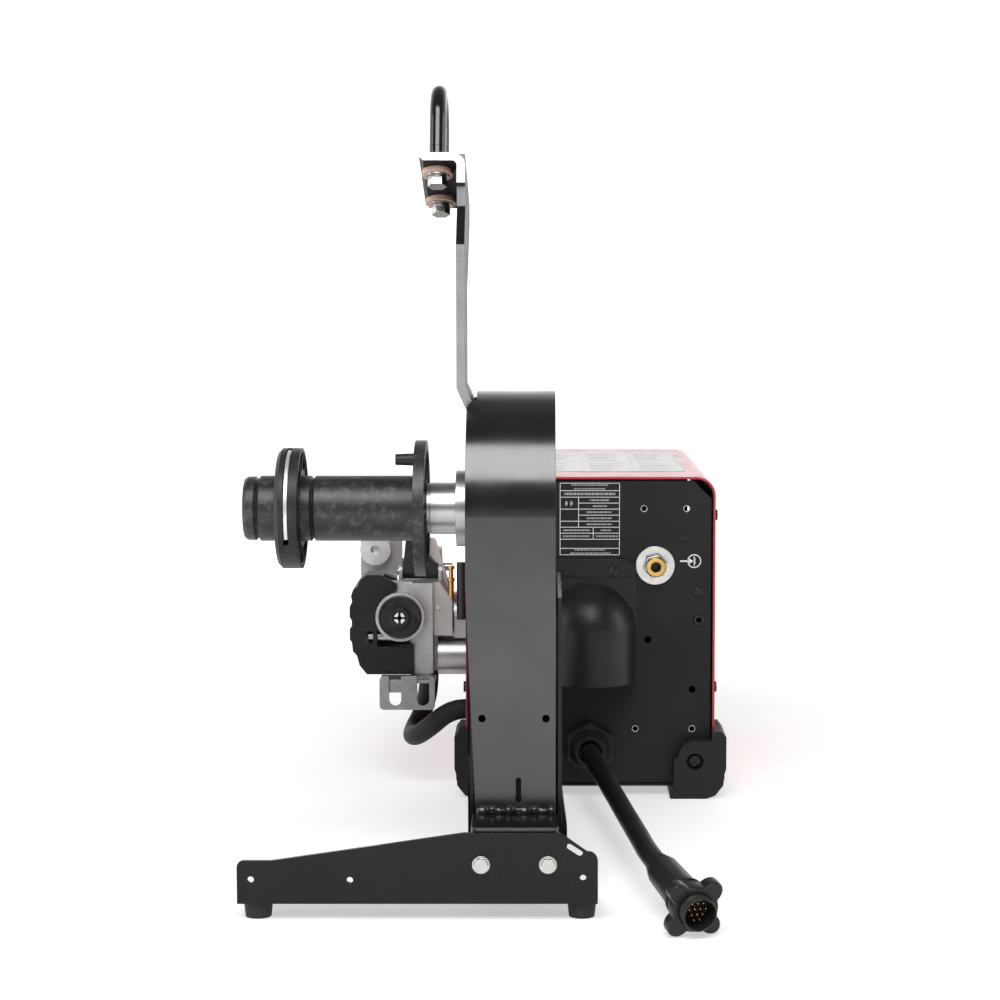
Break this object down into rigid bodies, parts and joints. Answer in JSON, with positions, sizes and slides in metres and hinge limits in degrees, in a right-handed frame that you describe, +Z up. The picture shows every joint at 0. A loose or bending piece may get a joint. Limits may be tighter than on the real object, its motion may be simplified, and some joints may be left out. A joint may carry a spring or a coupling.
{
  "type": "wire feeder",
  "caption": "Bench wire feeder for welding: braked spool spindle on an arched stand with a lift bail, boxed control unit, geared four-roll wire drive and control cable.",
  "frame": {"origin": "middle of the footprint of the stand and box together, on the floor", "axes": "+X to the right seen from the spool side's back view, +Y from the spool stand towards the front panel, +Z up"},
  "size_m": [0.391, 0.8286, 0.6069],
  "materials": {
    "stand_paint": "semi-gloss black powder coat",
    "rubber": "matte black rubber",
    "strap_metal": "clear-coated mill steel edge with black face",
    "bail_black": "gloss black",
    "fibre_washer": "matte copper-pink vulcanised fibre",
    "zinc": "bright zinc plate",
    "machined_steel": "turned steel",
    "black_plastic": "satin black moulding",
    "spring_steel": "oiled spring steel",
    "bright_steel": "bright spring steel strip",
    "red_paint": "semi-gloss red powder coat",
    "panel_paint": "satin charcoal powder coat",
    "boot_rubber": "matte moulded rubber",
    "black_screw": "black oxide",
    "boot_moulding": "satin black moulding",
    "brass": "machined brass",
    "label": "printed black film with plain white ruling",
    "circuit_board": "solder-masked board",
    "motor_paint": "black painted motor can",
    "display_lens": "dark red filter window",
    "red_button": "glossy red cap",
    "cast_alloy": "sand-textured die casting",
    "machined_alloy": "turned aluminium",
    "gear_steel": "hardened ground steel",
    "guard_plastic": "fine-grained black moulding",
    "stamped_steel": "plated pressed steel",
    "pale_plastic": "pale grey moulding",
    "lead_rubber": "matte black rubber sheath",
    "cable_jacket": "satin black cable jacket",
    "plug_black": "black anodised and moulded connector",
    "gold_contact": "gold-plated pins"
  },
  "bodies": {
    "root": {"foot_beam": "stand_paint", "rubber_feet": "rubber", "mast_band": "stand_paint", "mast_side_plates": "stand_paint", "base_channel": "stand_paint", "lift_strap": "strap_metal", "lift_bail": "bail_black", "bail_washers": "fibre_washer", "hex_bolts": "zinc", "spindle_shaft": "machined_steel", "brake_spring": "spring_steel", "brake_nut": "zinc", "case_shell": "red_paint", "rear_panel": "panel_paint", "front_panel": "panel_paint", "base_pan": "panel_paint", "corner_boots": "boot_rubber", "case_screws": "black_screw", "cable_boot": "boot_moulding", "weld_stud": "brass", "gas_inlet": "brass", "gas_washer": "zinc", "cable_gland": "boot_moulding", "rating_plate": "label", "control_board": "circuit_board", "drive_motor": "motor_paint", "gas_solenoid": "brass", "display_window": "display_lens", "toggle_bushing": "zinc", "trigger_socket": "black_plastic", "drive_casting": "cast_alloy", "gearbox_boss": "machined_alloy", "roll_shafts": "machined_steel", "inlet_guide": "black_plastic", "gun_bushing": "brass", "lower_bracket": "stamped_steel", "weld_lead": "lead_rubber", "control_cable": "cable_jacket", "plug_shell": "plug_black", "plug_contacts": "gold_contact"},
    "hub": {"spool_hub": "black_plastic", "drive_pin": "black_plastic", "end_clip": "black_plastic"},
    "collar": {"locking_collar": "black_plastic"},
    "collar_release": {"release_bar": "bright_steel"},
    "pinion": {"drive_pinion": "gear_steel"},
    "rear_lower": {"rear_lower_roll": "gear_steel"},
    "front_lower": {"front_lower_roll": "gear_steel"},
    "rear_upper": {"rear_upper_roll": "gear_steel"},
    "front_upper": {"front_upper_roll": "gear_steel"},
    "arm": {"pressure_arm": "cast_alloy"},
    "tension": {"tension_lever": "black_plastic"},
    "guard": {"guard_cover": "guard_plastic"},
    "clamp": {"clamp_knob": "machined_alloy"},
    "latch": {"latch_lever": "pale_plastic"},
    "speed": {"speed_knob": "black_plastic"},
    "volts": {"volts_knob": "black_plastic"},
    "toggle": {"mode_toggle": "zinc"},
    "jog": {"jog_button": "red_button"},
    "plug_ring": {"coupling_ring": "plug_black"}
  },
  "joints": [
    {"name": "spindle_spin", "type": "hinge", "parent": "root", "child": "hub", "pos_m": [-0.13, -0.245, 0.2832], "axis": [1, 0, 0], "continuous": true},
    {"name": "collar_slide", "type": "slide", "parent": "hub", "child": "collar", "axis": [-1, 0, 0], "range_m": [0, 0.16]},
    {"name": "collar_release_press", "type": "slide", "parent": "collar", "child": "collar_release", "axis": [0, 1, 0], "range_m": [0, 0.0025], "stiffness_N_per_m": 400, "springref_m": -0.002},
    {"name": "rear_lower_roll_spin", "type": "hinge", "parent": "root", "child": "rear_lower", "pos_m": [-0.0945, 0.135, 0.139], "axis": [1, 0, 0], "continuous": true},
    {"name": "pinion_spin", "type": "hinge", "parent": "root", "child": "pinion", "pos_m": [-0.0945, 0.165, 0.139], "axis": [1, 0, 0], "continuous": true},
    {"name": "front_lower_roll_spin", "type": "hinge", "parent": "root", "child": "front_lower", "pos_m": [-0.0945, 0.195, 0.139], "axis": [1, 0, 0], "continuous": true},
    {"name": "rear_upper_roll_spin", "type": "hinge", "parent": "arm", "child": "rear_upper", "pos_m": [-0.0945, 0.135, 0.175], "axis": [1, 0, 0], "continuous": true},
    {"name": "front_upper_roll_spin", "type": "hinge", "parent": "arm", "child": "front_upper", "pos_m": [-0.0945, 0.195, 0.175], "axis": [1, 0, 0], "continuous": true},
    {"name": "pressure_arm_lift", "type": "hinge", "parent": "root", "child": "arm", "pos_m": [-0.072, 0.258, 0.176], "axis": [-1, 0, 0], "range_deg": [0, 30]},
    {"name": "tension_lever_swing", "type": "hinge", "parent": "root", "child": "tension", "pos_m": [-0.078, 0.083, 0.194], "axis": [1, 0, 0], "range_deg": [0, 70]},
    {"name": "guard_swing", "type": "hinge", "parent": "root", "child": "guard", "pos_m": [-0.103, 0.135, 0.184], "axis": [0, 1, 0], "range_deg": [0, 58]},
    {"name": "clamp_knob_turn", "type": "hinge", "parent": "root", "child": "clamp", "pos_m": [-0.13, 0.241, 0.196], "axis": [0, 1, 0], "continuous": true},
    {"name": "latch_swing", "type": "hinge", "parent": "root", "child": "latch", "pos_m": [-0.055, 0.101, 0.173], "axis": [0, -1, 0], "range_deg": [0, 20]},
    {"name": "speed_knob_turn", "type": "hinge", "parent": "root", "child": "speed", "pos_m": [0.04, 0.363, 0.092], "axis": [0, 1, 0], "range_deg": [-135, 135]},
    {"name": "volts_knob_turn", "type": "hinge", "parent": "root", "child": "volts", "pos_m": [0.11, 0.363, 0.092], "axis": [0, 1, 0], "range_deg": [-135, 135]},
    {"name": "mode_toggle_tilt", "type": "hinge", "parent": "root", "child": "toggle", "pos_m": [0.075, 0.361, 0.175], "axis": [1, 0, 0], "range_deg": [-12, 12], "stiffness_Nm_per_rad": 0.05},
    {"name": "jog_button_press", "type": "slide", "parent": "root", "child": "jog", "axis": [0, -1, 0], "range_m": [0, 0.003], "stiffness_N_per_m": 500, "springref_m": -0.002},
    {"name": "coupling_ring_turn", "type": "hinge", "parent": "root", "child": "plug_ring", "pos_m": [0.13863, -0.42074, 0.02062], "axis": [0.2884, -0.9432, -0.165], "continuous": true}
  ],
  "couplings": [
    {"joint": "pinion_spin", "follows": "rear_lower_roll_spin", "ratio": -1.5},
    {"joint": "front_lower_roll_spin", "follows": "rear_lower_roll_spin", "ratio": 1},
    {"joint": "rear_upper_roll_spin", "follows": "rear_lower_roll_spin", "ratio": -1},
    {"joint": "front_upper_roll_spin", "follows": "rear_lower_roll_spin", "ratio": -1}
  ]
}
